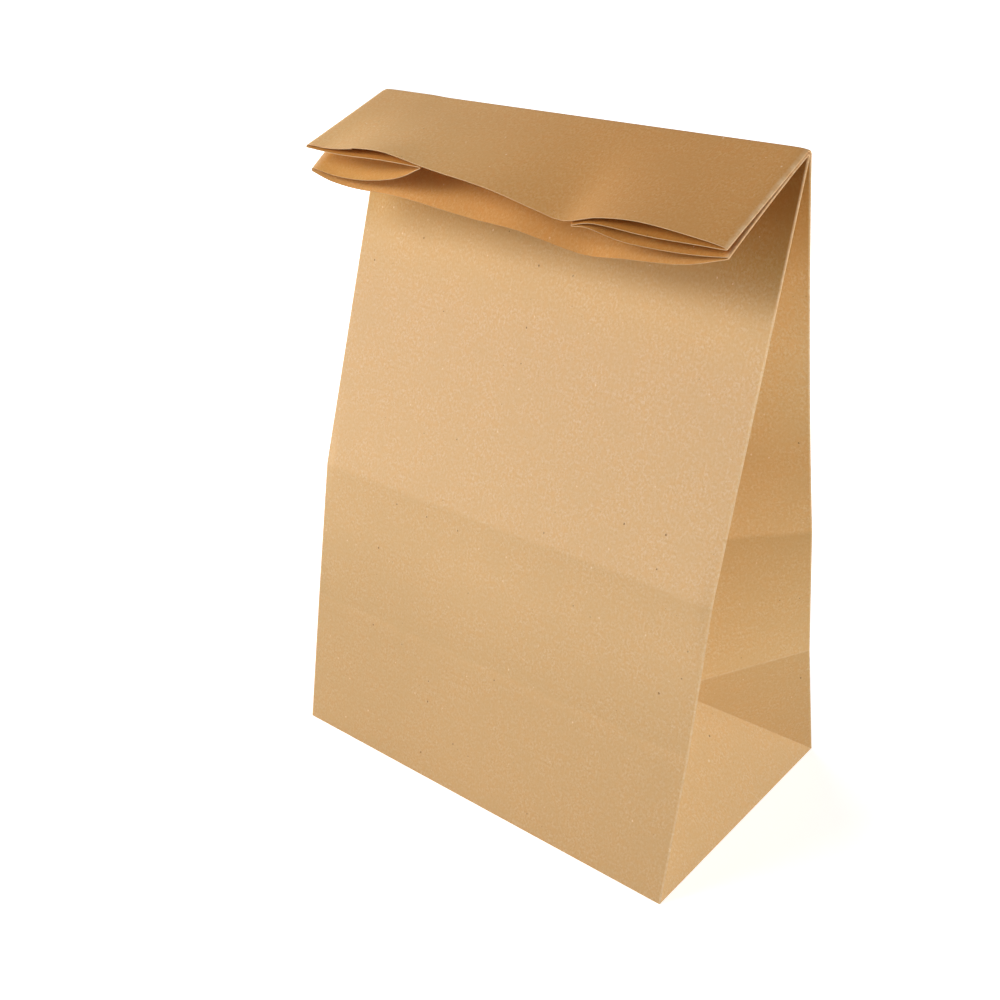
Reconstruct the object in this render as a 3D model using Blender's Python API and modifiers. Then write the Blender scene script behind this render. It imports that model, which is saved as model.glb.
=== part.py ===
"""A brown paper lunch bag with a square bottom and gusseted sides.

It stands on its opened bottom, its two wide walls lean together, and the top is folded over
once towards the front, where the four layers of paper part at the mouth. The bag is one sheet,
so it is one solid: a flat grid, as the paper is cut, is folded by the functions below and then
given the paper's thickness. +X runs along the front wall, +Y to the back and +Z up, and the
origin is the middle of the bottom.
"""

from math import asin, atan2, cos, hypot, pi, radians, sin, sqrt

import bmesh
import bpy
from mathutils import Vector

# Sizes of the bag, in metres; the top fold's own line has a height and a place to the back at its
# left end and at its right end
WIDTH = 0.152
DEPTH = 0.0983
FOLD_HEIGHTS = (0.2148, 0.2156)
FOLD_SETS = (0.0020, -0.0011)
FLAP_LENGTH = 0.0385
FLAP_SKEW = 0.0050
PAPER = 0.0002
LAYER_GAP = 0.00025
FOLD_RADIUS = 0.0004
SEAM_MARGIN = 0.006
BACK_BOW = 0.0012
FLAT_MARGIN = 0.002

# Lean of each wide wall from upright in degrees, below and above its lower cross crease, first at
# its left end and then at its right end
FRONT_LEANS = ((9.1, 9.5), (11.9, 8.2))
BACK_LEANS = ((12.5, 11.0), (14.3, 10.6))

# Fall of the flap below level at its left and right ends, in degrees
FLAP_FALL = (19.2, 24.4)

# The mouth's edge on the two wide walls, as share of the width and fall below level in degrees
BACK_LIP = (
    (0.00, 19.0), (0.06, 19.5), (0.21, 15.0), (0.34, 18.5), (0.50, 22.5), (0.60, 27.5),
    (0.655, 30.0), (0.74, 24.5), (0.84, 22.0), (1.00, 24.5),
)
FRONT_LIP = (
    (0.00, 33.0), (0.05, 36.0), (0.12, 37.5), (0.24, 37.0), (0.42, 40.0), (0.52, 40.0),
    (0.58, 42.5), (0.67, 46.5), (0.76, 42.0), (0.90, 35.5), (1.00, 27.0),
)

# The folded side leaves between them, left and right, as share of the way in and fall in degrees
FRONT_LEAF_LIPS = (
    ((0.20, 31.5), (0.40, 31.5), (0.60, 29.0), (0.80, 24.5)),
    ((0.20, 29.5), (0.50, 31.5), (0.70, 31.5), (0.90, 28.5)),
)
REAR_LEAF_LIPS = (
    ((0.30, 19.5), (0.70, 18.0)),
    ((0.25, 25.5), (0.50, 26.5), (0.85, 26.5)),
)
LEAF_CREASE_FALL = (17.5, 29.5)
SPREAD_POWER = 0.75

# How finely the sheet is divided
PANEL_STEPS = 17
LEAF_STEPS = 5
TURN_STEPS = 4
MIDDLE_ROWS = 3
UPPER_ROWS = 10
FOLD_ROWS = 6
FLAP_ROWS = 8

# The zones of the sheet, from the bottom edge up to the mouth
FOOT, MIDDLE, UPPER, FOLD, FLAP = range(5)

HALF_DEPTH = DEPTH / 2
PITCH = PAPER + LAYER_GAP
TURN = PITCH / 2
STACK = 3 * PITCH
PANEL_END = WIDTH / 2 - TURN
LEAF = HALF_DEPTH - TURN
FOOT_ROUND = 0.8 * TURN
LEAF_END = TURN_STEPS + LEAF_STEPS
HALF_TURN_STEPS = TURN_STEPS // 2
KRAFT = (0.60, 0.38, 0.19, 1.0)
KRAFT_ROUGHNESS = 0.85


def blend(low, high, share):
    return low + (high - low) * share


def end_of(x):
    """The end of the bag that a place belongs to: 0 on the left, 1 on the right."""
    return 1 if x > 0 else 0


def through(points, place):
    """The height at a place on a smooth curve through a few hand-set points."""
    last = len(points) - 1
    k = 0
    while k < last - 1 and place > points[k + 1][0]:
        k += 1
    slopes = []
    for at in (k, k + 1):
        before, after = points[max(at - 1, 0)], points[min(at + 1, last)]
        slopes.append((after[1] - before[1]) / (after[0] - before[0]))
    span = points[k + 1][0] - points[k][0]
    t = min(max((place - points[k][0]) / span, 0.0), 1.0)
    start = points[k][1] * (1 + 2 * t) * (1 - t) ** 2 + slopes[0] * span * t * (1 - t) ** 2
    end = points[k + 1][1] * t * t * (3 - 2 * t) - slopes[1] * span * t * t * (1 - t)
    return start + end


def fold_line(side):
    """The line that the top fold turns round, as (y, z) at a share of the width from the left."""
    return Vector((blend(*FOLD_SETS, side), blend(*FOLD_HEIGHTS, side)))


def on_fold(side, lean, radius):
    """The point (y, z) on a turn round the top fold where the paper leans this far to the back."""
    return fold_line(side) + radius * Vector((cos(lean), -sin(lean)))


def wall_profile(face, end, leans, radius):
    """One end of a wide wall: its foot, two cross creases and start on the fold, and its last lean."""
    points = [Vector((face * HALF_DEPTH, PAPER / 2 + FOOT_ROUND))]
    for lean in leans[end]:
        angle = radians(lean)
        points.append(points[-1] + HALF_DEPTH * Vector((-face * sin(angle), cos(angle))))
    y, z = fold_line(end) - points[-1]
    last_lean = atan2(y, z) + asin(radius / hypot(y, z))
    points.append(on_fold(end, last_lean, radius))
    return points, last_lean


FRONT_WALLS = [wall_profile(-1, end, FRONT_LEANS, FOLD_RADIUS) for end in (0, 1)]
BACK_WALLS = [wall_profile(1, end, BACK_LEANS, FOLD_RADIUS + STACK) for end in (0, 1)]


def wall_pair(zone, share, side):
    """The front and back walls' points (y, z) in one of the three zones below the fold."""
    pair = []
    for walls in (FRONT_WALLS, BACK_WALLS):
        left, right = (blend(points[zone], points[zone + 1], share) for points, _ in walls)
        pair.append(blend(left, right, side))
    if zone == UPPER:
        pair[1].x -= 4 * share * (1 - share) * BACK_BOW
    return pair


def first_lean(depth, side):
    """How far the paper leans to the back where it meets the top fold."""
    leans = [blend(walls[0][1], walls[1][1], side) for walls in (FRONT_WALLS, BACK_WALLS)]
    return blend(*leans, depth)


def crease_drop(zone, share, end):
    """How far the middle crease of a side hangs below the corners: most at the foot's top."""
    lean = radians((FRONT_LEANS[end][0] + BACK_LEANS[end][0]) / 2)
    lowest = HALF_DEPTH * (cos(lean) - (1 - sin(lean)) / cos(lean))
    if zone == MIDDLE:
        return lowest * (1 - share / 3)
    return lowest * 2 / 3 * (1 - share) ** 2


def row_gap(zone, share, end):
    if zone >= FOLD:
        return STACK
    front, back = wall_pair(zone, share, end)
    return (back - front).length


def half_side(gap, drop):
    """Half of the right side as (x, depth, inward share), from a wide wall to the middle crease.

    It is the line that touches two small turns: the one at the corner and the one at the crease.
    """
    reach = sqrt(LEAF * LEAF - drop * drop)
    part = min((gap / 2 - TURN) / hypot(reach, 2 * TURN), 1.0)
    turn = pi - asin(part) + atan2(2 * TURN, reach)
    crease_x = PANEL_END + reach * cos(turn) + 2 * TURN * sin(turn)
    points = []
    for step in range(TURN_STEPS + 1):
        angle = turn * step / TURN_STEPS
        points.append((PANEL_END + TURN * sin(angle), TURN - TURN * cos(angle), 0.0))
    x0, depth0, _ = points[-1]
    x1, depth1 = crease_x - TURN * sin(turn), gap / 2 + TURN * cos(turn)
    for step in range(1, LEAF_STEPS + 1):
        share = step / LEAF_STEPS
        points.append((blend(x0, x1, share), blend(depth0, depth1, share), share))
    for step in range(1, HALF_TURN_STEPS + 1):
        angle = blend(turn, pi / 2, step / HALF_TURN_STEPS)
        points.append((crease_x - TURN * sin(angle), gap / 2 + TURN * cos(angle), 1.0))
    return points


def foot_half():
    """The same at the very bottom, where the side is flat."""
    points = []
    for step in range(TURN_STEPS + 1):
        angle = pi / 2 * step / TURN_STEPS
        points.append((PANEL_END + TURN * sin(angle), TURN - TURN * cos(angle), 0.0))
    for step in range(1, LEAF_STEPS + 1):
        share = step / LEAF_STEPS
        points.append((WIDTH / 2, blend(TURN, HALF_DEPTH - TURN, share), share))
    for step in range(1, HALF_TURN_STEPS + 1):
        depth = HALF_DEPTH - TURN * (1 - step / HALF_TURN_STEPS)
        points.append((WIDTH / 2, depth, 1.0))
    return points


def mouth_fall(layer, hand, x, inward):
    """How far below level a layer of the flap points at the mouth, in degrees."""
    share = x / WIDTH + 0.5
    if layer == "front wall":
        return through(FRONT_LIP, share)
    if layer == "back wall":
        return through(BACK_LIP, share)
    wall_lip, leaf_lips = BACK_LIP, REAR_LEAF_LIPS
    if layer == "front leaf":
        wall_lip, leaf_lips = FRONT_LIP, FRONT_LEAF_LIPS
    end = end_of(hand)
    points = ((0.0, wall_lip[-end][1]), *leaf_lips[end], (1.0, LEAF_CREASE_FALL[end]))
    return through(points, inward)


def place(zone, share, x, depth, inward, fall):
    """A point of the sheet in space, with its depth as a share of the way from front to back."""
    side = x / WIDTH + 0.5
    if zone < FOLD:
        y, z = blend(*wall_pair(zone, share, side), depth)
        return Vector((x, y, z - crease_drop(zone, share, end_of(x)) * inward))
    radius = FOLD_RADIUS + STACK * depth
    level = radians(blend(*FLAP_FALL, side))
    last_lean = -pi / 2 - level
    if zone == FOLD:
        lean = blend(first_lean(depth, side), last_lean, share)
        return Vector((x, *on_fold(side, lean, radius)))
    length = (FLAP_LENGTH + FLAP_SKEW * x / WIDTH) * share
    angle = blend(level, radians(fall), share**SPREAD_POWER)
    y, z = on_fold(side, last_lean, radius) - length * Vector((cos(angle), sin(angle)))
    return Vector((x, y, z))


def foot_leaf(foot, crease, inward, share):
    """Half of a side below the lower cross crease, which folds along a diagonal from its corner."""
    if share == 0:
        return foot
    apex = crease[LEAF_END]
    corner = foot[0] + crease[TURN_STEPS] - crease[0]
    wall = blend(foot[0], crease[0], share)
    points = []
    for k in range(len(foot)):
        if k <= TURN_STEPS:
            points.append(wall + crease[k] - crease[0])
        elif k > LEAF_END:
            points.append(blend(foot[k], crease[k], share))
        elif inward[k] < share:
            on_crease = blend(crease[TURN_STEPS], apex, inward[k] / share)
            points.append(blend(corner, on_crease, share))
        else:
            along = (inward[k] - share) / (1 - share)
            points.append(blend(blend(foot[TURN_STEPS], foot[LEAF_END], along), apex, share))
    return points


def side_points(zone, share, layer, hand):
    """Half of a side, from its wide wall to the middle crease, in space."""
    if zone == FOOT:
        foot = [row_point(FOOT, 0, layer, hand, *p) for p in foot_half()]
        crease = side_points(MIDDLE, 0, layer, hand)
        return foot_leaf(foot, crease, [p[2] for p in foot_half()], share)
    gap = row_gap(zone, share, end_of(hand))
    drop = crease_drop(zone, share, end_of(hand)) if zone < FOLD else 0.0
    return [row_point(zone, share, layer, hand, *p) for p in half_side(gap, drop)]


def row_point(zone, share, layer, hand, x, depth, inward):
    depth /= row_gap(zone, share, end_of(hand))
    if layer == "rear leaf":
        depth = 1 - depth
    fall = mouth_fall(layer, hand, hand * x, inward)
    dropped = 0.0 if zone == FOOT else inward
    return place(zone, share, hand * x, depth, dropped, fall)


def front_panel(zone, share):
    points = []
    for step in range(1, PANEL_STEPS):
        x = blend(-PANEL_END, PANEL_END, step / PANEL_STEPS)
        points.append(place(zone, share, x, 0.0, 0.0, mouth_fall("front wall", 0, x, 0.0)))
    return points


def back_panel(zone, share):
    """The back from its right corner to the glued seam, where it laps over the left margin."""
    gap = row_gap(zone, share, 0)
    seam_x = SEAM_MARGIN - WIDTH / 2
    points = []
    for step in range(1, PANEL_STEPS + 1):
        along = step / PANEL_STEPS
        x = blend(PANEL_END, seam_x, along)
        fall = mouth_fall("back wall", 0, x, 0.0)
        points.append(place(zone, share, x, 1 + PAPER * along / gap, 0.0, fall))
    points.append(place(zone, share, seam_x, 1.0, 0.0, mouth_fall("back wall", 0, seam_x, 0.0)))
    return points


def ring(zone, share):
    """One row of the sheet, from the seam round by the left side, front and right side."""
    halves = {}
    for hand in (-1, 1):
        for layer in ("front leaf", "rear leaf"):
            halves[hand, layer] = side_points(zone, share, layer, hand)
    back = back_panel(zone, share)
    left = halves[-1, "rear leaf"] + halves[-1, "front leaf"][-2::-1]
    right = halves[1, "front leaf"] + halves[1, "rear leaf"][-2::-1]
    return [back[-1]] + left + front_panel(zone, share) + right + back


def sheet_rows():
    counts = (LEAF_STEPS, MIDDLE_ROWS, UPPER_ROWS, FOLD_ROWS, FLAP_ROWS)
    rows = [(zone, step / count) for zone, count in enumerate(counts) for step in range(count)]
    return rows + [(FLAP, 1.0)]


def cut_diagonals(grid):
    """Splits the faces that the diagonal folds at the foot cross, along those folds."""
    first_left = 1
    first_right = first_left + 2 * (LEAF_END + HALF_TURN_STEPS) + PANEL_STEPS
    side_length = 2 * (LEAF_END + HALF_TURN_STEPS)
    for first in (first_left, first_right):
        for row in range(LEAF_STEPS):
            column = TURN_STEPS + row
            for a, b in ((column, column + 1), (side_length - column, side_length - column - 1)):
                low, high = grid[row][first + a], grid[row + 1][first + b]
                face = next(f for f in low.link_faces if high in f.verts)
                bmesh.utils.face_split(face, low, high)


def close_bottom(bm, edges):
    """The flat bottom, a little in from and below the walls' feet, so that its edge is rounded."""
    floor = bmesh.ops.contextual_create(bm, geom=edges)["faces"][0]
    floor.normal_update()
    if floor.normal.z > 0:
        floor.normal_flip()
    bmesh.ops.inset_region(bm, faces=[floor], thickness=FOOT_ROUND, depth=FOOT_ROUND)
    bmesh.ops.inset_region(bm, faces=[floor], thickness=FLAT_MARGIN)


def folded_sheet():
    """The paper as one surface: a flat grid whose rows are laid on the rings, closed at the seam."""
    rings = [ring(zone, share) for zone, share in sheet_rows()]
    columns, rows = len(rings[0]) - 1, len(rings) - 1
    bm = bmesh.new()
    bmesh.ops.create_grid(bm, x_segments=columns, y_segments=rows, size=0.5)
    grid = [[None] * (columns + 1) for _ in rings]
    for vert in bm.verts:
        column, row = round((vert.co.x + 0.5) * columns), round((vert.co.y + 0.5) * rows)
        vert.co = rings[row][column]
        grid[row][column] = vert
    cut_diagonals(grid)
    seam = [row[0] for row in grid] + [row[-1] for row in grid]
    bottom = [e for e in bm.edges if all(v in grid[0] for v in e.verts)]
    bmesh.ops.remove_doubles(bm, verts=seam, dist=1e-6)
    bottom = [e for e in bottom if e.is_valid]
    close_bottom(bm, bottom)
    mesh = bpy.data.meshes.new("paper_bag")
    bm.to_mesh(mesh)
    bm.free()
    return mesh


def kraft_paper():
    material = bpy.data.materials.new("kraft_paper")
    material.use_nodes = True
    shader = material.node_tree.nodes["Principled BSDF"]
    shader.inputs["Base Color"].default_value = KRAFT
    shader.inputs["Roughness"].default_value = KRAFT_ROUGHNESS
    shader.inputs["Metallic"].default_value = 0.0
    material.diffuse_color = KRAFT
    return material


def main():
    for item in list(bpy.data.objects):
        bpy.data.objects.remove(item)
    parts = bpy.data.collections.new("paper_lunch_bag")
    bpy.context.scene.collection.children.link(parts)
    mesh = folded_sheet()
    mesh.materials.append(kraft_paper())
    bag = bpy.data.objects.new("paper_bag", mesh)
    parts.objects.link(bag)
    thickness = bag.modifiers.new("paper_thickness", "SOLIDIFY")
    thickness.thickness = PAPER
    thickness.offset = 0.0
    thickness.use_even_offset = True


main()
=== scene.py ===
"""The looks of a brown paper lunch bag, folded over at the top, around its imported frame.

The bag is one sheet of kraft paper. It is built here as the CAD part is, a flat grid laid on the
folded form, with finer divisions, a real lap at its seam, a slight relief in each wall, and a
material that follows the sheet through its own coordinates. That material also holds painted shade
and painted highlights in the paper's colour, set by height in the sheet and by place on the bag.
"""

from math import asin, atan2, cos, exp, hypot, pi, radians, sin, sqrt

import bmesh
import bpy
from mathutils import Matrix, Vector, noise


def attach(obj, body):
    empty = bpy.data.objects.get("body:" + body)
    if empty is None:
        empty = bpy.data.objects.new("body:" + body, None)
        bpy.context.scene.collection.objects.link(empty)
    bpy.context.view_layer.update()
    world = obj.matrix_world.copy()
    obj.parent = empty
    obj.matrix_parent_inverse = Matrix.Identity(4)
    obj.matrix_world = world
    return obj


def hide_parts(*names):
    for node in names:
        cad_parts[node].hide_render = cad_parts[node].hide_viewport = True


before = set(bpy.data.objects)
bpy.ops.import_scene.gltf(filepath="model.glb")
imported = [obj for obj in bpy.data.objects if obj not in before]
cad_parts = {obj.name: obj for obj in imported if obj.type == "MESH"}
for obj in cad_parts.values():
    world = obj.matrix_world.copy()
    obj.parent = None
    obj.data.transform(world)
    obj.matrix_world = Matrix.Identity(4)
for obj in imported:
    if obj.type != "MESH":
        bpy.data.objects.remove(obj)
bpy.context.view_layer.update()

# Sizes of the bag in metres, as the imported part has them
WIDTH = 0.152
DEPTH = 0.0983
FOLD_HEIGHTS = (0.2148, 0.2156)
FOLD_SETS = (0.0020, -0.0011)
FLAP_LENGTH = 0.0385
FLAP_SKEW = 0.0050
LEFT_REACH = 0.0022
PAPER = 0.0002
LAYER_GAP = 0.00025
FOLD_RADIUS = 0.0004
SEAM_MARGIN = 0.0015
LAP = 0.0195
BACK_BOW = 0.0012
SPRING = 0.0005
SPRING_REACH = 0.0014

# Lean of each wide wall from upright at its left and right ends, and fall of the flap, in degrees
FRONT_LEANS = ((9.1, 9.5), (11.9, 8.2))
BACK_LEANS = ((12.5, 11.0), (14.3, 10.6))
FLAP_FALL = (19.2, 24.4)

# The mouth's edge on the two wide walls, as share of the width and fall below level in degrees
BACK_LIP = (
    (0.00, 19.0), (0.06, 19.5), (0.21, 15.0), (0.34, 18.5), (0.50, 22.5), (0.60, 27.5),
    (0.655, 30.0), (0.74, 24.5), (0.84, 22.0), (1.00, 24.5),
)
FRONT_LIP = (
    (0.00, 29.0), (0.05, 34.0), (0.12, 37.0), (0.24, 37.0), (0.42, 40.0), (0.52, 40.0),
    (0.58, 42.5), (0.67, 46.5), (0.76, 42.0), (0.90, 35.5), (1.00, 27.0),
)

# The folded side leaves between them, left and right, as share of the way in and fall in degrees
FRONT_LEAF_LIPS = (
    ((0.20, 31.5), (0.40, 31.5), (0.60, 29.0), (0.80, 24.5)),
    ((0.20, 29.5), (0.50, 31.5), (0.70, 31.5), (0.90, 28.5)),
)
REAR_LEAF_LIPS = (
    ((0.30, 19.5), (0.70, 18.0)),
    ((0.25, 25.5), (0.50, 26.5), (0.85, 26.5)),
)
LEAF_CREASE_FALL = (17.5, 29.5)
SPREAD_POWER = 0.75

# How finely the sheet is divided
PANEL_STEPS = 68
LEAF_STEPS = 24
TURN_STEPS = 4
LAP_STEPS = 6
MIDDLE_ROWS = 20
UPPER_ROWS = 44
FOLD_ROWS = 12
FLAP_ROWS = 34
CROWDING = 0.82

FOOT, MIDDLE, UPPER, FOLD, FLAP = range(5)
HALF_DEPTH = DEPTH / 2
PITCH = PAPER + LAYER_GAP
TURN = PITCH / 2
STACK = 3 * PITCH
PANEL_END = WIDTH / 2 - TURN
LEAF = HALF_DEPTH - TURN
FOOT_ROUND = 0.8 * TURN
FLAT_MARGIN = 0.002
LEAF_END = TURN_STEPS + LEAF_STEPS
HALF_TURN_STEPS = TURN_STEPS // 2


def blend(low, high, share):
    return low + (high - low) * share


def end_of(x):
    """The end of the bag that a place belongs to: 0 on the left, 1 on the right."""
    return 1 if x > 0 else 0


def smooth(value, low, high):
    t = min(max((value - low) / (high - low), 0.0), 1.0)
    return t * t * (3 - 2 * t)


def crowd(share):
    """A share of a length, moved so that even steps lie closer together near both ends."""
    return share - CROWDING * sin(2 * pi * share) / (2 * pi)


def through(points, place):
    """The height at a place on a smooth curve through a few given points."""
    last = len(points) - 1
    k = 0
    while k < last - 1 and place > points[k + 1][0]:
        k += 1
    slopes = []
    for at in (k, k + 1):
        before, after = points[max(at - 1, 0)], points[min(at + 1, last)]
        slopes.append((after[1] - before[1]) / (after[0] - before[0]))
    span = points[k + 1][0] - points[k][0]
    t = min(max((place - points[k][0]) / span, 0.0), 1.0)
    start = points[k][1] * (1 + 2 * t) * (1 - t) ** 2 + slopes[0] * span * t * (1 - t) ** 2
    end = points[k + 1][1] * t * t * (3 - 2 * t) - slopes[1] * span * t * t * (1 - t)
    return start + end


def fold_line(side):
    """The line that the top fold turns round, as (y, z) at a share of the width from the left."""
    return Vector((blend(*FOLD_SETS, side), blend(*FOLD_HEIGHTS, side)))


def on_fold(side, lean, radius):
    """The point (y, z) on a turn round the top fold where the paper leans this far to the back."""
    return fold_line(side) + radius * Vector((cos(lean), -sin(lean)))


def wall_profile(face, end, leans, radius):
    """One end of a wide wall: its foot, two cross creases and start on the fold, and its last lean."""
    points = [Vector((face * HALF_DEPTH, PAPER / 2 + FOOT_ROUND))]
    for lean in leans[end]:
        angle = radians(lean)
        points.append(points[-1] + HALF_DEPTH * Vector((-face * sin(angle), cos(angle))))
    y, z = fold_line(end) - points[-1]
    last_lean = atan2(y, z) + asin(radius / hypot(y, z))
    points.append(on_fold(end, last_lean, radius))
    return points, last_lean


FRONT_WALLS = [wall_profile(-1, end, FRONT_LEANS, FOLD_RADIUS) for end in (0, 1)]
BACK_WALLS = [wall_profile(1, end, BACK_LEANS, FOLD_RADIUS + STACK) for end in (0, 1)]
UPPER_LENGTH = (FRONT_WALLS[0][0][3] - FRONT_WALLS[0][0][2]).length
FOLD_LENGTH = pi * (FOLD_RADIUS + STACK / 2)
ZONE_LENGTHS = (HALF_DEPTH, HALF_DEPTH, UPPER_LENGTH, FOLD_LENGTH, FLAP_LENGTH)


def wall_pair(zone, share, side):
    """The front and back walls' points (y, z) in one of the three zones below the fold."""
    pair = []
    for walls in (FRONT_WALLS, BACK_WALLS):
        left, right = (blend(points[zone], points[zone + 1], share) for points, _ in walls)
        pair.append(blend(left, right, side))
    if zone == UPPER:
        pair[1].x -= 4 * share * (1 - share) * BACK_BOW
    return pair


def first_lean(depth, side):
    """How far the paper leans to the back where it meets the top fold."""
    leans = [blend(walls[0][1], walls[1][1], side) for walls in (FRONT_WALLS, BACK_WALLS)]
    return blend(*leans, depth)


def crease_drop(zone, share, end):
    """How far the middle crease of a side hangs below the corners: most at the foot's top."""
    lean = radians((FRONT_LEANS[end][0] + BACK_LEANS[end][0]) / 2)
    lowest = HALF_DEPTH * (cos(lean) - (1 - sin(lean)) / cos(lean))
    if zone == MIDDLE:
        return lowest * (1 - share / 3)
    return lowest * 2 / 3 * (1 - share) ** 2


def row_gap(zone, share, end):
    if zone >= FOLD:
        return STACK
    front, back = wall_pair(zone, share, end)
    return (back - front).length


def half_side(gap, drop):
    """Half of the right side as (x, depth, inward share), from a wide wall to the middle crease."""
    reach = sqrt(LEAF * LEAF - drop * drop)
    part = min((gap / 2 - TURN) / hypot(reach, 2 * TURN), 1.0)
    turn = pi - asin(part) + atan2(2 * TURN, reach)
    crease_x = PANEL_END + reach * cos(turn) + 2 * TURN * sin(turn)
    points = []
    for step in range(TURN_STEPS + 1):
        angle = turn * step / TURN_STEPS
        points.append((PANEL_END + TURN * sin(angle), TURN - TURN * cos(angle), 0.0))
    x0, depth0, _ = points[-1]
    x1, depth1 = crease_x - TURN * sin(turn), gap / 2 + TURN * cos(turn)
    for step in range(1, LEAF_STEPS + 1):
        share = crowd(step / LEAF_STEPS)
        points.append((blend(x0, x1, share), blend(depth0, depth1, share), share))
    for step in range(1, HALF_TURN_STEPS + 1):
        angle = blend(turn, pi / 2, step / HALF_TURN_STEPS)
        points.append((crease_x - TURN * sin(angle), gap / 2 + TURN * cos(angle), 1.0))
    return points


def foot_half():
    """The same at the very bottom, where the side is flat."""
    points = []
    for step in range(TURN_STEPS + 1):
        angle = pi / 2 * step / TURN_STEPS
        points.append((PANEL_END + TURN * sin(angle), TURN - TURN * cos(angle), 0.0))
    for step in range(1, LEAF_STEPS + 1):
        share = crowd(step / LEAF_STEPS)
        points.append((WIDTH / 2, blend(TURN, HALF_DEPTH - TURN, share), share))
    for step in range(1, HALF_TURN_STEPS + 1):
        depth = HALF_DEPTH - TURN * (1 - step / HALF_TURN_STEPS)
        points.append((WIDTH / 2, depth, 1.0))
    return points


def mouth_fall(layer, hand, x, inward):
    """How far below level a layer of the flap points at the mouth, in degrees."""
    share = x / WIDTH + 0.5
    if layer == "front wall":
        return through(FRONT_LIP, share)
    if layer == "back wall":
        return through(BACK_LIP, share)
    wall_lip, leaf_lips = BACK_LIP, REAR_LEAF_LIPS
    if layer == "front leaf":
        wall_lip, leaf_lips = FRONT_LIP, FRONT_LEAF_LIPS
    end = end_of(hand)
    points = ((0.0, wall_lip[-end][1]), *leaf_lips[end], (1.0, LEAF_CREASE_FALL[end]))
    return through(points, inward)


def swell(x, z, seed, size):
    """A soft random height from -1 to 1 over lengths of this size."""
    return noise.noise(Vector((x / size, z / size, seed)))


def wall_relief(zone, share, x, back):
    """How far a wide wall stands out from its flat form: a slow swell and its cross creases."""
    height = (zone + share) * HALF_DEPTH if zone < UPPER else DEPTH + share * UPPER_LENGTH
    inset = smooth(PANEL_END - abs(x), 0.0, 0.022)
    top = DEPTH + UPPER_LENGTH
    ends = smooth(height, 0.0, 0.012) * (1 - smooth(height, top - 0.02, top))
    seed = 7.3 if back else 2.1
    slow = 0.0006 * swell(x, height, seed, 0.060) + 0.0001 * swell(x, height, seed + 5, 0.024)
    low, high = abs(height - HALF_DEPTH), abs(height - DEPTH)
    ridge = 0.0007 * exp(-high / 0.014) + 0.0001 * exp(-high / (0.03 if height > DEPTH else 0.0025))
    folds = ridge - 0.00025 * exp(-low / 0.010) - 0.00004 * exp(-low / 0.002)
    return slow * inset * ends + folds * smooth(PANEL_END - abs(x), 0.0, 0.004)


def place(zone, share, x, depth, inward, fall):
    """A point of the sheet in space, with its depth as a share of the way from front to back."""
    side = x / WIDTH + 0.5
    if zone < FOLD:
        y, z = blend(*wall_pair(zone, share, side), depth)
        return Vector((x, y, z - crease_drop(zone, share, end_of(x)) * inward))
    edge = PANEL_END - abs(x)
    sway = 0.00020 * swell(x, 0.0, 11.0, 0.03) * smooth(edge, 0.0, 0.01)
    spring = SPRING * (1 - exp(-max(edge, 0.0) / SPRING_REACH)) * smooth(depth, 0.9, 1.0)
    radius = FOLD_RADIUS + STACK * depth
    level = radians(blend(*FLAP_FALL, side))
    last_lean = -pi / 2 - level
    if zone == FOLD:
        lean = blend(first_lean(depth, side), last_lean, share)
        return Vector((x, *on_fold(side, lean, radius + spring * share)))
    reach = LEFT_REACH * (1 - depth) * smooth(-x, 0.045, WIDTH / 2)
    length = (FLAP_LENGTH + FLAP_SKEW * x / WIDTH + reach) * share
    angle = blend(level, radians(fall), share**SPREAD_POWER)
    y, z = on_fold(side, last_lean, radius + spring) - length * Vector((cos(angle), sin(angle)))
    return Vector((x, y, z + sway * smooth(share, 0.0, 0.5)))


def foot_leaf(foot, crease, inward, share):
    """Half of a side below the lower cross crease, which folds along a diagonal from its corner."""
    if share == 0:
        return foot
    apex = crease[LEAF_END]
    corner = foot[0] + crease[TURN_STEPS] - crease[0]
    wall = blend(foot[0], crease[0], share)
    points = []
    for k in range(len(foot)):
        if k <= TURN_STEPS:
            points.append(wall + crease[k] - crease[0])
        elif k > LEAF_END:
            points.append(blend(foot[k], crease[k], share))
        elif inward[k] < share:
            on_crease = blend(crease[TURN_STEPS], apex, inward[k] / share)
            points.append(blend(corner, on_crease, share))
        else:
            along = (inward[k] - share) / (1 - share)
            points.append(blend(blend(foot[TURN_STEPS], foot[LEAF_END], along), apex, share))
    return points


def row_point(zone, share, layer, hand, x, depth, inward):
    depth /= row_gap(zone, share, end_of(hand))
    if layer == "rear leaf":
        depth = 1 - depth
    fall = mouth_fall(layer, hand, hand * x, inward)
    dropped = 0.0 if zone == FOOT else inward
    return place(zone, share, hand * x, depth, dropped, fall)


def side_points(zone, share, layer, hand):
    """Half of a side, from its wide wall to the middle crease, in space."""
    if zone == FOOT:
        foot = [row_point(FOOT, 0, layer, hand, *p) for p in foot_half()]
        crease = side_points(MIDDLE, 0, layer, hand)
        return foot_leaf(foot, crease, [p[2] for p in foot_half()], share)
    gap = row_gap(zone, share, end_of(hand))
    drop = crease_drop(zone, share, end_of(hand)) if zone < FOLD else 0.0
    return [row_point(zone, share, layer, hand, *p) for p in half_side(gap, drop)]


def wall_point(zone, share, x, depth, back):
    layer = "back wall" if back else "front wall"
    point = place(zone, share, x, depth, 0.0, mouth_fall(layer, 0, x, 0.0))
    if zone < FOLD:
        point.y += (1 if back else -1) * wall_relief(zone, share, x, back)
    return point


def front_panel(zone, share):
    places = [crowd(step / PANEL_STEPS) for step in range(1, PANEL_STEPS)]
    return [wall_point(zone, share, blend(-PANEL_END, PANEL_END, p), 0.0, False) for p in places]


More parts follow.
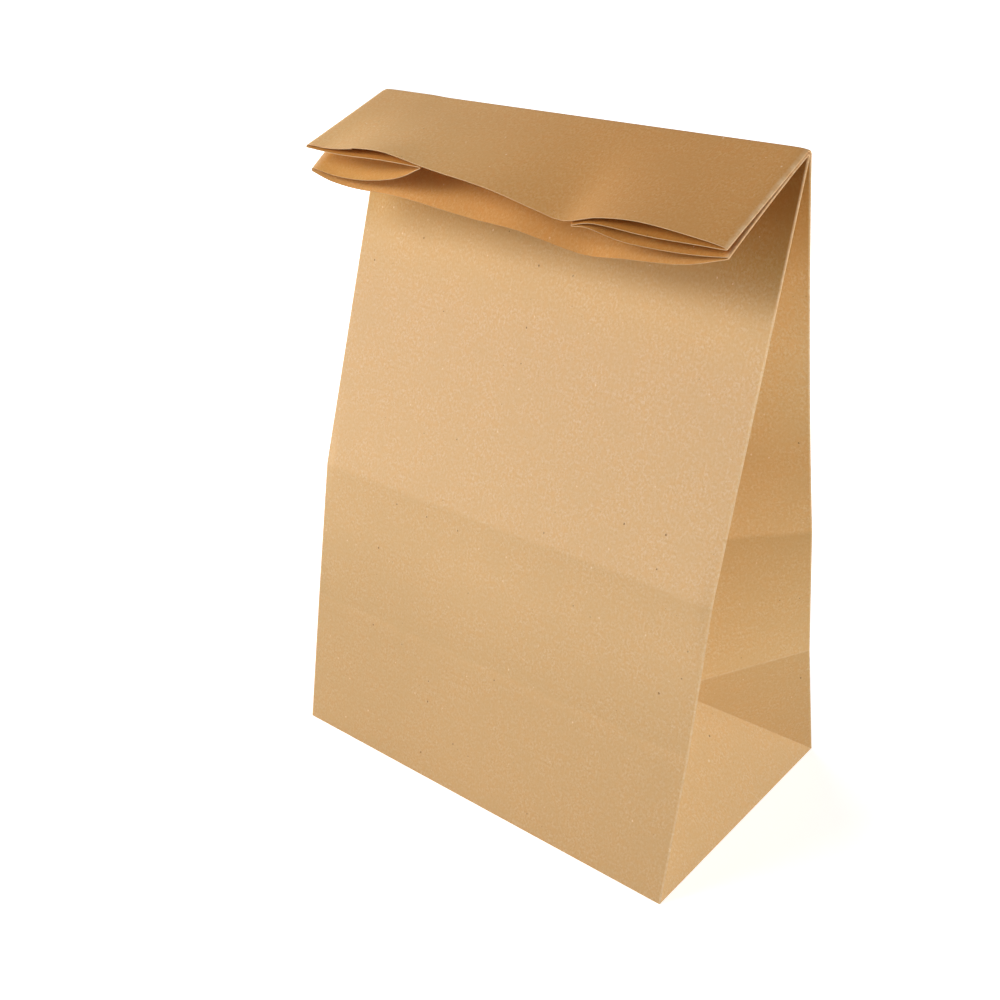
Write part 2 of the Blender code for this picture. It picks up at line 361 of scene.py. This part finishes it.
def back_panel(zone, share):
    """The back from its right corner to the free edge of its lap, over the sheet's first margin."""
    gap = row_gap(zone, share, 0)
    seam_x = SEAM_MARGIN - WIDTH / 2
    points = []
    for step in range(1, PANEL_STEPS + 1):
        x = blend(PANEL_END, seam_x, crowd(step / PANEL_STEPS))
        over = 1.12 * PAPER * smooth(-x, WIDTH / 2 - SEAM_MARGIN - LAP - 0.008, WIDTH / 2 - SEAM_MARGIN - LAP)
        points.append(wall_point(zone, share, x, 1 + over / gap, True))
    return points


def inner_lap(zone, share):
    """The sheet's first margin, glued under the back's free edge, up to the left corner."""
    start = SEAM_MARGIN + LAP - WIDTH / 2
    return [
        wall_point(zone, share, blend(start, -PANEL_END, step / LAP_STEPS), 1.0, True)
        for step in range(LAP_STEPS)
    ]


def ring(zone, share):
    """One row of the sheet: the lap, the left side, the front, the right side and the back."""
    halves = {}
    for hand in (-1, 1):
        for layer in ("front leaf", "rear leaf"):
            halves[hand, layer] = side_points(zone, share, layer, hand)
    left = halves[-1, "rear leaf"] + halves[-1, "front leaf"][-2::-1]
    right = halves[1, "front leaf"] + halves[1, "rear leaf"][-2::-1]
    return inner_lap(zone, share) + left + front_panel(zone, share) + right + back_panel(zone, share)


def sheet_rows():
    counts = (LEAF_STEPS, MIDDLE_ROWS, UPPER_ROWS, FOLD_ROWS, FLAP_ROWS)
    rows = []
    for zone, count in enumerate(counts):
        for step in range(count):
            share = step / count
            rows.append((zone, crowd(share) if zone < FOLD else share))
    return rows + [(FLAP, 1.0)]


def row_heights(rows):
    """How far up the flat sheet each row lies."""
    starts = [sum(ZONE_LENGTHS[:zone]) for zone in range(5)]
    return [starts[zone] + ZONE_LENGTHS[zone] * share for zone, share in rows]


def column_places():
    """For each column how far across the flat sheet it lies, and how far past the nearest corner.

    The second is positive on the narrow sides, where it grows to the middle crease, and negative
    on the wide walls.
    """
    half = [0.0] * (TURN_STEPS + 1)
    half += [HALF_DEPTH * crowd(step / LEAF_STEPS) for step in range(1, LEAF_STEPS + 1)]
    half += [HALF_DEPTH] * HALF_TURN_STEPS
    margin = SEAM_MARGIN + LAP
    across, past = [], []
    for step in range(LAP_STEPS):
        across.append(margin * step / LAP_STEPS)
        past.append(across[-1] - margin)
    start = margin
    side = half + [DEPTH - h for h in half[-2::-1]]
    for panel in (WIDTH, WIDTH - SEAM_MARGIN):
        across += [start + h for h in side]
        past += [min(h, DEPTH - h) for h in side]
        start += DEPTH
        last = PANEL_STEPS + 1 if panel < WIDTH else PANEL_STEPS
        for step in range(1, last):
            along = panel * crowd(step / PANEL_STEPS)
            across.append(start + along)
            past.append(-min(along, WIDTH - along))
        start += panel
    return across, past


def cut_diagonals(grid):
    """Turns the faces that the diagonal folds at the foot cross, along those folds."""
    side_length = 2 * (LEAF_END + HALF_TURN_STEPS)
    first_left = LAP_STEPS
    first_right = first_left + side_length + PANEL_STEPS
    for first in (first_left, first_right):
        for row in range(LEAF_STEPS):
            column = TURN_STEPS + row
            for a, b in ((column, column + 1), (side_length - column, side_length - column - 1)):
                low, high = grid[row][first + a], grid[row + 1][first + b]
                face = next(f for f in low.link_faces if high in f.verts)
                bmesh.utils.face_split(face, low, high)


def folded_sheet():
    """The paper as one surface, with its flat coordinates kept in two maps."""
    rows = sheet_rows()
    rings = [ring(zone, share) for zone, share in rows]
    heights = row_heights(rows)
    across, past = column_places()
    columns, count = len(rings[0]) - 1, len(rings) - 1
    bm = bmesh.new()
    bmesh.ops.create_grid(bm, x_segments=columns, y_segments=count, size=0.5)
    sheet_map = bm.loops.layers.uv.new("sheet")
    fold_map = bm.loops.layers.uv.new("folds")
    grid = [[None] * (columns + 1) for _ in rings]
    place_of = {}
    for vert in bm.verts:
        column, row = round((vert.co.x + 0.5) * columns), round((vert.co.y + 0.5) * count)
        vert.co = rings[row][column]
        grid[row][column] = vert
        place_of[vert] = column, row
    for face in bm.faces:
        face.smooth = True
        for loop in face.loops:
            column, row = place_of[loop.vert]
            loop[sheet_map].uv = across[column], heights[row]
            loop[fold_map].uv = past[column], heights[row]
    cut_diagonals(grid)
    bmesh.ops.recalc_face_normals(bm, faces=bm.faces)
    mesh = bpy.data.meshes.new("bag_sheet")
    bm.to_mesh(mesh)
    bm.free()
    return mesh


def base_sheet():
    """The bottom: one flat piece, set inside the walls' feet."""
    bm = bmesh.new()
    bmesh.ops.create_grid(bm, x_segments=2, y_segments=2, size=0.5)
    for vert in bm.verts:
        vert.co = Vector((vert.co.x * (WIDTH - PAPER), vert.co.y * (DEPTH - PAPER), PAPER / 2))
    mesh = bpy.data.meshes.new("bag_base")
    bm.to_mesh(mesh)
    bm.free()
    return mesh


class Nodes:
    """A material's node tree, with short calls for the nodes used here."""

    def __init__(self, name):
        self.material = bpy.data.materials.new(name)
        self.material.use_nodes = True
        self.tree = self.material.node_tree
        self.shader = self.tree.nodes["Principled BSDF"]

    def new(self, kind, **settings):
        node = self.tree.nodes.new(kind)
        for name, value in settings.items():
            setattr(node, name, value)
        return node

    def put(self, socket, value):
        if hasattr(value, "is_linked"):
            self.tree.links.new(value, socket)
        else:
            socket.default_value = value

    def math(self, operation, a, b=0.0, clamp=False):
        node = self.new("ShaderNodeMath", operation=operation, use_clamp=clamp)
        self.put(node.inputs[0], a)
        self.put(node.inputs[1], b)
        return node.outputs[0]

    def span(self, value, low, high, to_low=0.0, to_high=1.0):
        """A value mapped from one range to another, with soft ends."""
        node = self.new("ShaderNodeMapRange", interpolation_type="SMOOTHSTEP")
        for name, given in (("From Min", low), ("From Max", high), ("To Min", to_low), ("To Max", to_high)):
            node.inputs[name].default_value = given
        self.put(node.inputs["Value"], value)
        return node.outputs["Result"]

    def mix(self, share, a, b):
        node = self.new("ShaderNodeMix", data_type="RGBA")
        self.put(node.inputs["Factor"], share)
        self.put(node.inputs[6], a)
        self.put(node.inputs[7], b)
        return node.outputs[2]

    def multiplied(self, share, colour, by):
        node = self.new("ShaderNodeMix", data_type="RGBA", blend_type="MULTIPLY")
        self.put(node.inputs["Factor"], share)
        self.put(node.inputs[6], colour)
        self.put(node.inputs[7], by)
        return node.outputs[2]

    def scaled(self, vector, x, y, z=1.0):
        node = self.new("ShaderNodeMapping")
        node.inputs["Scale"].default_value = (x, y, z)
        self.put(node.inputs["Vector"], vector)
        return node.outputs["Vector"]

    def ramp(self, height, stops):
        """A colour that runs through stops along the height of the flat sheet."""
        node = self.new("ShaderNodeValToRGB")
        self.put(node.inputs["Fac"], self.math("DIVIDE", height, HEIGHT_OF_FOLD))
        elements = node.color_ramp.elements
        for k, (level, colour) in enumerate(stops):
            stop = elements[k] if k < 2 else elements.new(1.0)
            stop.position = level / HEIGHT_OF_FOLD
            stop.color = (*colour, 1)
        return node.outputs["Color"]

    def noise(self, vector, scale, detail=2.0, rough=0.5, distort=0.0):
        node = self.new("ShaderNodeTexNoise")
        self.put(node.inputs["Vector"], vector)
        node.inputs["Scale"].default_value = scale
        node.inputs["Detail"].default_value = detail
        node.inputs["Roughness"].default_value = rough
        node.inputs["Distortion"].default_value = distort
        return node.outputs["Fac"]

    def fine_shift(self, vector, scale):
        """A small random offset that frays the outline of a fleck."""
        node = self.new("ShaderNodeTexNoise")
        self.put(node.inputs["Vector"], vector)
        node.inputs["Scale"].default_value = scale
        node.inputs["Detail"].default_value = 1.0
        return node.outputs["Color"]


HEIGHT_OF_FOLD = DEPTH + UPPER_LENGTH
FRONT_MIDDLE = SEAM_MARGIN + LAP + DEPTH + WIDTH / 2

# Painted shade on the wide walls by height in the flat sheet, from the foot to the top fold, stepped at the
# cross creases
WALL_PAINTED_SHADE = (
    (0.0, (0.87, 0.85, 0.77)),
    (HALF_DEPTH - 0.004, (0.885, 0.87, 0.80)),
    (HALF_DEPTH - 0.0004, (0.915, 0.90, 0.83)),
    (HALF_DEPTH + 0.0004, (0.88, 0.87, 0.80)),
    (DEPTH - 0.018, (0.945, 0.94, 0.89)),
    (DEPTH - 0.0006, (0.92, 0.915, 0.865)),
    (DEPTH + 0.0006, (0.98, 0.985, 0.975)),
    (0.150, (0.945, 0.95, 0.955)),
    (HEIGHT_OF_FOLD, (0.94, 0.94, 0.89)),
)
# Painted shadow of the flap on the front wall, darkest just under the top fold
FLAP_PAINTED_SHADOW = (
    (0.0, (1.0, 1.0, 1.0)),
    (0.160, (1.0, 1.0, 1.0)),
    (0.178, (1.0, 1.0, 0.94)),
    (0.192, (0.82, 0.74, 0.51)),
    (0.207, (0.59, 0.43, 0.21)),
    (HEIGHT_OF_FOLD, (0.44, 0.30, 0.12)),
)
# Painted light and shade on the right side by height, stepped at its cross creases and darkest under the flap
SIDE_PAINTED_LIGHT_SHADE = (
    (0.0, (1.03, 1.05, 0.99)),
    (HALF_DEPTH - 0.0005, (1.01, 1.03, 0.96)),
    (HALF_DEPTH + 0.0005, (1.0, 1.01, 0.90)),
    (0.075, (0.94, 0.93, 0.79)),
    (DEPTH - 0.0005, (0.86, 0.82, 0.65)),
    (DEPTH + 0.0005, (0.98, 0.96, 0.81)),
    (0.125, (0.94, 0.90, 0.72)),
    (0.150, (1.08, 1.14, 1.03)),
    (0.165, (1.18, 1.27, 1.19)),
    (0.185, (1.19, 1.22, 1.04)),
    (0.203, (1.05, 0.95, 0.62)),
    (HEIGHT_OF_FOLD, (0.85, 0.68, 0.34)),
)
# Painted shade on the left side: one fixed factor on the paper's colour
LEFT_SIDE_PAINTED_SHADE = (0.94, 0.92, 0.83, 1)
# Painted shade on each side between its diagonal folds and its lower cross crease
SIDE_TRIANGLE_PAINTED_SHADE = (0.89, 0.85, 0.77, 1)
# Painted shade on the side leaves folded into the flap
FOLDED_LEAF_PAINTED_SHADE = (0.84, 0.74, 0.50, 1)


def tinted(tone, red, green, blue):
    return tone[0] * red, tone[1] * green, tone[2] * blue, 1


def kraft(name, tone, flap_painted_light_and_shade, fleck, worn_and_highlight, wear_and_highlight_amount):
    """Unbleached kraft paper: a fine two-tone grain, dark and pale flecks, hairs and worn folds, with painted
    shade and painted highlights in its colour by height and place.
    """
    n = Nodes(name)
    sheet = n.new("ShaderNodeUVMap", uv_map="sheet").outputs["UV"]
    folds = n.new("ShaderNodeUVMap", uv_map="folds").outputs["UV"]
    parts = n.new("ShaderNodeSeparateXYZ")
    n.put(parts.inputs["Vector"], folds)
    past, height = parts.outputs["X"], parts.outputs["Y"]
    flat = n.new("ShaderNodeSeparateXYZ")
    n.put(flat.inputs["Vector"], sheet)
    across = flat.outputs["X"]
    cloud = n.noise(sheet, 90.0, 3.0, 0.55)
    grain = n.noise(n.scaled(sheet, 1500.0, 1100.0), 1.0, 3.0, 0.75)
    mottle = n.noise(n.scaled(sheet, 640.0, 460.0), 1.0, 3.0, 0.65)
    colour = n.mix(n.span(grain, 0.34, 0.66), tinted(tone, 0.925, 0.84, 0.70), tinted(tone, 1.05, 1.15, 1.33))
    colour = n.mix(n.span(mottle, 0.40, 0.66, 0.0, 0.75), colour, tinted(tone, 0.99, 0.91, 0.80))
    colour = n.mix(n.span(cloud, 0.35, 0.70, 0.0, 0.5), colour, tinted(tone, 0.95, 0.95, 0.92))
    above = n.span(height, HEIGHT_OF_FOLD - 0.002, HEIGHT_OF_FOLD + 0.004)
    split = n.new("ShaderNodeSeparateXYZ")
    n.put(split.inputs["Vector"], n.new("ShaderNodeTexCoord").outputs["Object"])
    x = split.outputs["X"]
    # painted light and shade above the fold: from a left end lighter towards the lip to a darker right end
    rightward = n.span(x, -0.066, 0.036)
    lipward = n.span(height, HEIGHT_OF_FOLD + 0.008, HEIGHT_OF_FOLD + 0.034)
    flap_left_painted_light = n.mix(lipward, *flap_painted_light_and_shade[:2])
    colour = n.multiplied(above, colour, n.mix(rightward, flap_left_painted_light, flap_painted_light_and_shade[2]))
    # painted shade on the folded leaves above the fold
    leaf = n.math("MULTIPLY", n.span(past, 0.0, 0.003), above)
    colour = n.multiplied(leaf, colour, FOLDED_LEAF_PAINTED_SHADE)
    wavering = n.math("ADD", height, n.math("MULTIPLY", n.math("SUBTRACT", cloud, 0.5), 0.003))
    below = n.math("SUBTRACT", 1.0, above)
    aside = n.span(past, -0.0004, 0.0004)
    # painted light and shade on the narrow sides: a fixed factor on the left, a run by height on the right
    side_painted_light_shade = n.mix(n.span(x, -0.01, 0.01), LEFT_SIDE_PAINTED_SHADE, n.ramp(wavering, SIDE_PAINTED_LIGHT_SHADE))
    colour = n.multiplied(n.math("MULTIPLY", aside, below), colour, side_painted_light_shade)
    facing = n.math("SUBTRACT", 1.0, aside)
    # painted shade on the wide walls by height
    colour = n.multiplied(n.math("MULTIPLY", facing, below), colour, n.ramp(wavering, WALL_PAINTED_SHADE))
    # painted shadow under the flap, on the front wall only
    off_middle = n.math("ABSOLUTE", n.math("SUBTRACT", across, FRONT_MIDDLE))
    front = n.math("MULTIPLY", n.span(off_middle, WIDTH / 2 - 0.0004, WIDTH / 2, 1.0, 0.0), below)
    colour = n.multiplied(front, colour, n.ramp(height, FLAP_PAINTED_SHADOW))
    # painted shade: the lower left of the front wall is a little darker
    low = n.span(height, 0.07, 0.11, 1.0, 0.0)
    low_left_painted_shade = n.math("MULTIPLY", n.span(rightward, 0.0, 0.7, 1.0, 0.0), low)
    colour = n.multiplied(n.math("MULTIPLY", front, low_left_painted_shade), colour, (0.94, 0.94, 0.93, 1))
    # painted shade on the sides, between the diagonal folds and the lower cross crease
    slope = n.math("SUBTRACT", height, past)
    foot = n.span(height, HALF_DEPTH - 0.0006, HALF_DEPTH + 0.0006, 1.0, 0.0)
    painted_shade_triangle = n.math("MULTIPLY", n.span(slope, -0.0006, 0.0006), foot)
    colour = n.multiplied(n.math("MULTIPLY", aside, painted_shade_triangle), colour, SIDE_TRIANGLE_PAINTED_SHADE)
    for scale, size, chosen, paint, amount in (
        (150.0, 0.050, 0.86, fleck, 0.8), (260.0, 0.045, 0.92, fleck, 0.5), (190.0, 0.060, 0.78, worn_and_highlight, 0.6),
    ):
        cells = n.new("ShaderNodeTexVoronoi", voronoi_dimensions="2D", feature="F1")
        wander = n.new("ShaderNodeVectorMath", operation="ADD")
        n.put(wander.inputs[0], n.scaled(sheet, 1.0, 0.7))
        n.put(wander.inputs[1], n.scaled(n.fine_shift(sheet, 2600.0), 0.00035, 0.00035))
        n.put(cells.inputs["Vector"], wander.outputs[0])
        cells.inputs["Scale"].default_value = scale
        pick = n.new("ShaderNodeSeparateColor")
        n.put(pick.inputs["Color"], cells.outputs["Color"])
        reach = n.math("MULTIPLY", pick.outputs["Green"], size)
        inside = n.math("SUBTRACT", reach, cells.outputs["Distance"])
        picked = n.math("GREATER_THAN", pick.outputs["Red"], chosen)
        share = n.math("MULTIPLY", n.span(inside, 0.0, size * 0.4, 0.0, amount), picked)
        colour = n.mix(share, colour, paint)
    hair = n.noise(n.scaled(sheet, 210.0, 420.0), 1.0, 1.0, 0.5, 1.5)
    hair_line = n.span(n.math("ABSOLUTE", n.math("SUBTRACT", hair, 0.5)), 0.0, 0.006, 0.5, 0.0)
    hair_spots = n.span(n.noise(sheet, 330.0, 1.0, 0.5), 0.66, 0.74)
    colour = n.mix(n.math("MULTIPLY", hair_line, hair_spots), colour, worn_and_highlight)
    aside_of_corner = n.math("ABSOLUTE", past)
    corner = n.span(aside_of_corner, 0.0, 0.0003, 0.7, 0.0)
    # painted highlight: a wider pale band along the flap's folded side edges, above the fold
    rim = n.math("MULTIPLY", n.span(aside_of_corner, 0.0, 0.0012, 0.8, 0.0), above)
    middle = n.span(n.math("ABSOLUTE", n.math("SUBTRACT", past, HALF_DEPTH)), 0.0, 0.0006, 0.7, 0.0)
    middle = n.math("MULTIPLY", middle, n.span(height, HALF_DEPTH - 0.001, HALF_DEPTH))
    narrow = n.span(past, -0.0005, 0.0005, 0.1, 1.0)
    low = n.span(n.math("ABSOLUTE", n.math("SUBTRACT", height, HALF_DEPTH)), 0.0, 0.0006, 0.5, 0.0)
    slant = n.span(n.math("ABSOLUTE", slope), 0.0, 0.0006, 0.25, 0.0)
    line = n.math("MAXIMUM", n.math("MAXIMUM", corner, middle), n.math("MAXIMUM", slant, rim))
    line = n.math("MAXIMUM", line, n.math("MULTIPLY", low, narrow))
    broken = n.span(n.noise(sheet, 420.0, 2.0, 0.6), 0.3, 0.7, 0.4, 1.0)
    share = n.math("MULTIPLY", n.math("MULTIPLY", line, broken), wear_and_highlight_amount)
    n.put(n.shader.inputs["Base Color"], n.mix(share, colour, worn_and_highlight))
    n.shader.inputs["Roughness"].default_value = 0.82
    n.shader.inputs["Specular IOR Level"].default_value = 0.22
    bump = n.new("ShaderNodeBump")
    bump.inputs["Strength"].default_value = 0.25
    bump.inputs["Distance"].default_value = 0.00010
    n.put(bump.inputs["Height"], grain)
    n.put(n.shader.inputs["Normal"], bump.outputs["Normal"])
    return n.material


def cut_edge():
    n = Nodes("kraft_edge")
    place_node = n.new("ShaderNodeTexCoord").outputs["Object"]
    tone = n.noise(place_node, 900.0, 2.0)
    n.put(n.shader.inputs["Base Color"], n.mix(tone, (0.60, 0.38, 0.19, 1), (0.74, 0.51, 0.28, 1)))
    n.shader.inputs["Roughness"].default_value = 0.9
    n.shader.inputs["Specular IOR Level"].default_value = 0.2
    return n.material


def add_bag():
    mesh = folded_sheet()
    outside = kraft(
        "kraft_outside", (0.745, 0.488, 0.258, 1),
        # painted light and shade on the flap at its left end, its left end at the lip and its right end; then
        # the fleck colour
        ((0.97, 0.86, 0.66, 1), (1.10, 1.01, 0.80, 1), (0.88, 0.69, 0.44, 1)), (0.25, 0.11, 0.04, 1),
        (0.90, 0.72, 0.48, 1), 0.6,
    )
    # The inside's darker, more orange tone is partly the paper's own inner face and partly painted shade
    # within the bag
    inside = kraft(
        "kraft_inside", (0.68, 0.36, 0.115, 1),
        # painted light and shade above the fold at the left end, the left end at the lip and the right end;
        # then the fleck colour
        ((1.05, 1.02, 1.0, 1), (1.05, 1.02, 1.0, 1), (0.90, 0.84, 0.76, 1)), (0.25, 0.11, 0.04, 1),
        (0.82, 0.58, 0.33, 1), 0.2,
    )
    for material in (outside, inside, cut_edge()):
        mesh.materials.append(material)
    bag = bpy.data.objects.new("paper_bag_sheet", mesh)
    bpy.context.scene.collection.objects.link(bag)
    skin = bag.modifiers.new("paper_thickness", "SOLIDIFY")
    skin.thickness = PAPER
    skin.offset = 0.0
    skin.use_even_offset = True
    skin.material_offset = 1
    skin.material_offset_rim = 2
    crisp = bag.modifiers.new("crisp_edges", "EDGE_SPLIT")
    crisp.split_angle = radians(55)
    base = bpy.data.objects.new("paper_bag_base", base_sheet())
    base.data.materials.append(outside)
    bpy.context.scene.collection.objects.link(base)
    thick = base.modifiers.new("paper_thickness", "SOLIDIFY")
    thick.thickness = PAPER
    thick.offset = 0.0
    for piece in (bag, base):
        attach(piece, "root")
        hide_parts("paper_bag")
    return bag


def add_floor():
    bm = bmesh.new()
    bmesh.ops.create_grid(bm, x_segments=1, y_segments=1, size=6.0)
    mesh = bpy.data.meshes.new("floor")
    bm.to_mesh(mesh)
    bm.free()
    n = Nodes("floor_white")
    n.shader.inputs["Base Color"].default_value = (0.9, 0.9, 0.9, 1)
    n.shader.inputs["Roughness"].default_value = 1.0
    n.shader.inputs["Specular IOR Level"].default_value = 0.0
    seen = n.new("ShaderNodeLightPath").outputs["Is Camera Ray"]
    away = n.new("ShaderNodeVectorMath", operation="LENGTH")
    n.put(away.inputs[0], n.new("ShaderNodeTexCoord").outputs["Object"])
    glow = n.span(away.outputs["Value"], 0.08, 0.45, 0.62, 1.0)
    n.shader.inputs["Emission Color"].default_value = (1, 1, 1, 1)
    n.put(n.shader.inputs["Emission Strength"], n.math("MULTIPLY", seen, glow))
    mesh.materials.append(n.material)
    floor = bpy.data.objects.new("floor", mesh)
    bpy.context.scene.collection.objects.link(floor)


def add_world():
    world = bpy.data.worlds.new("studio")
    world.use_nodes = True
    tree = world.node_tree
    tree.nodes.clear()
    seen = tree.nodes.new("ShaderNodeLightPath")
    light, white = tree.nodes.new("ShaderNodeBackground"), tree.nodes.new("ShaderNodeBackground")
    light.inputs["Strength"].default_value = 0.09
    white.inputs["Strength"].default_value = 1.0
    for background in (light, white):
        background.inputs["Color"].default_value = (1, 1, 1, 1)
    mix, out = tree.nodes.new("ShaderNodeMixShader"), tree.nodes.new("ShaderNodeOutputWorld")
    tree.links.new(seen.outputs["Is Camera Ray"], mix.inputs["Fac"])
    tree.links.new(light.outputs[0], mix.inputs[1])
    tree.links.new(white.outputs[0], mix.inputs[2])
    tree.links.new(mix.outputs[0], out.inputs["Surface"])
    bpy.context.scene.world = world


def add_lamp(name, place, size, power):
    data = bpy.data.lights.new(name, "AREA")
    data.shape = "SQUARE"
    data.size = size
    data.energy = power
    lamp = bpy.data.objects.new(name, data)
    lamp.location = place
    aim = Vector((0, 0, 0.1)) - Vector(place)
    lamp.rotation_euler = aim.to_track_quat("-Z", "Y").to_euler()
    bpy.context.scene.collection.objects.link(lamp)


def add_camera():
    data = bpy.data.cameras.new("camera")
    data.lens = 46.56
    data.sensor_width = 36.0
    camera = bpy.data.objects.new("camera", data)
    camera.location = (0.2261, -0.3074, 0.2852)
    turn, tilt = Matrix.Rotation(radians(39.405), 3, "Z"), Matrix.Rotation(radians(63.35), 3, "X")
    roll = Matrix.Rotation(radians(-0.158), 3, "Z")
    camera.rotation_euler = (turn @ tilt @ roll).to_euler()
    bpy.context.scene.collection.objects.link(camera)
    bpy.context.scene.camera = camera


bpy.context.scene.view_settings.view_transform = "Standard"
add_camera()
add_bag()
add_floor()
add_world()
add_lamp("key", (-0.9, -0.5, 0.35), 0.5, 5.9)
add_lamp("high_key", (-0.6, -0.9, 0.8), 0.5, 6.6)
add_lamp("left_rim", (-1.0, 0.5, 0.6), 0.8, 6.0)
add_lamp("right_fill", (1.2, -0.24, 0.4), 0.8, 8.6)
add_lamp("back_fill", (1.0, 0.9, 0.4), 0.8, 4.4)
